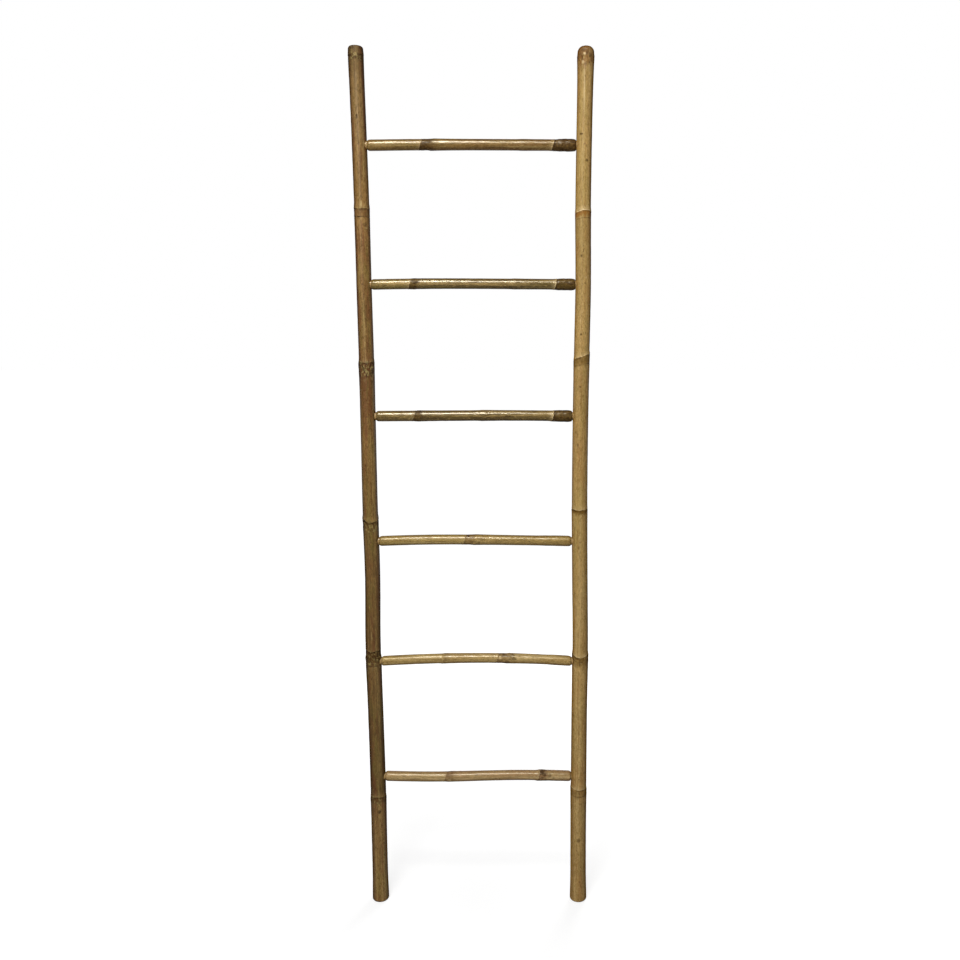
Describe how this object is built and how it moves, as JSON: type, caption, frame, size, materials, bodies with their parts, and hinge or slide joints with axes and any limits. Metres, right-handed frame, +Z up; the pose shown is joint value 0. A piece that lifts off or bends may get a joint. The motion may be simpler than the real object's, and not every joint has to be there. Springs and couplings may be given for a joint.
{
  "type": "towel ladder",
  "caption": "Free-leaning towel ladder of lacquered solid rattan cane: two tall poles joined by level rungs on pinned tenons.",
  "frame": {"origin": "on the floor, midway between the two poles' feet", "axes": "+Z up along the poles, +X to the right across the ladder seen from its front, +Y from the front to the back"},
  "size_m": [0.5073, 0.0393, 1.9],
  "materials": {
    "cane_brown": "solid rattan cane, olive brown, clear gloss lacquer",
    "cane_gold": "solid rattan cane, golden tan, clear gloss lacquer",
    "cane_rung": "thinner solid rattan cane, golden olive, clear gloss lacquer, bare ends",
    "brad_steel": "dull steel under lacquer"
  },
  "bodies": {
    "root": {"left_pole": "cane_brown", "right_pole": "cane_gold", "rung_1": "cane_rung", "rung_2": "cane_rung", "rung_3": "cane_rung", "rung_4": "cane_rung", "rung_5": "cane_rung", "rung_6": "cane_rung", "brad_1_left": "brad_steel", "brad_2_left": "brad_steel", "brad_3_left": "brad_steel", "brad_4_left": "brad_steel", "brad_5_left": "brad_steel", "brad_6_left": "brad_steel", "brad_1_right": "brad_steel", "brad_2_right": "brad_steel", "brad_3_right": "brad_steel", "brad_4_right": "brad_steel", "brad_5_right": "brad_steel", "brad_6_right": "brad_steel"}
  },
  "joints": []
}
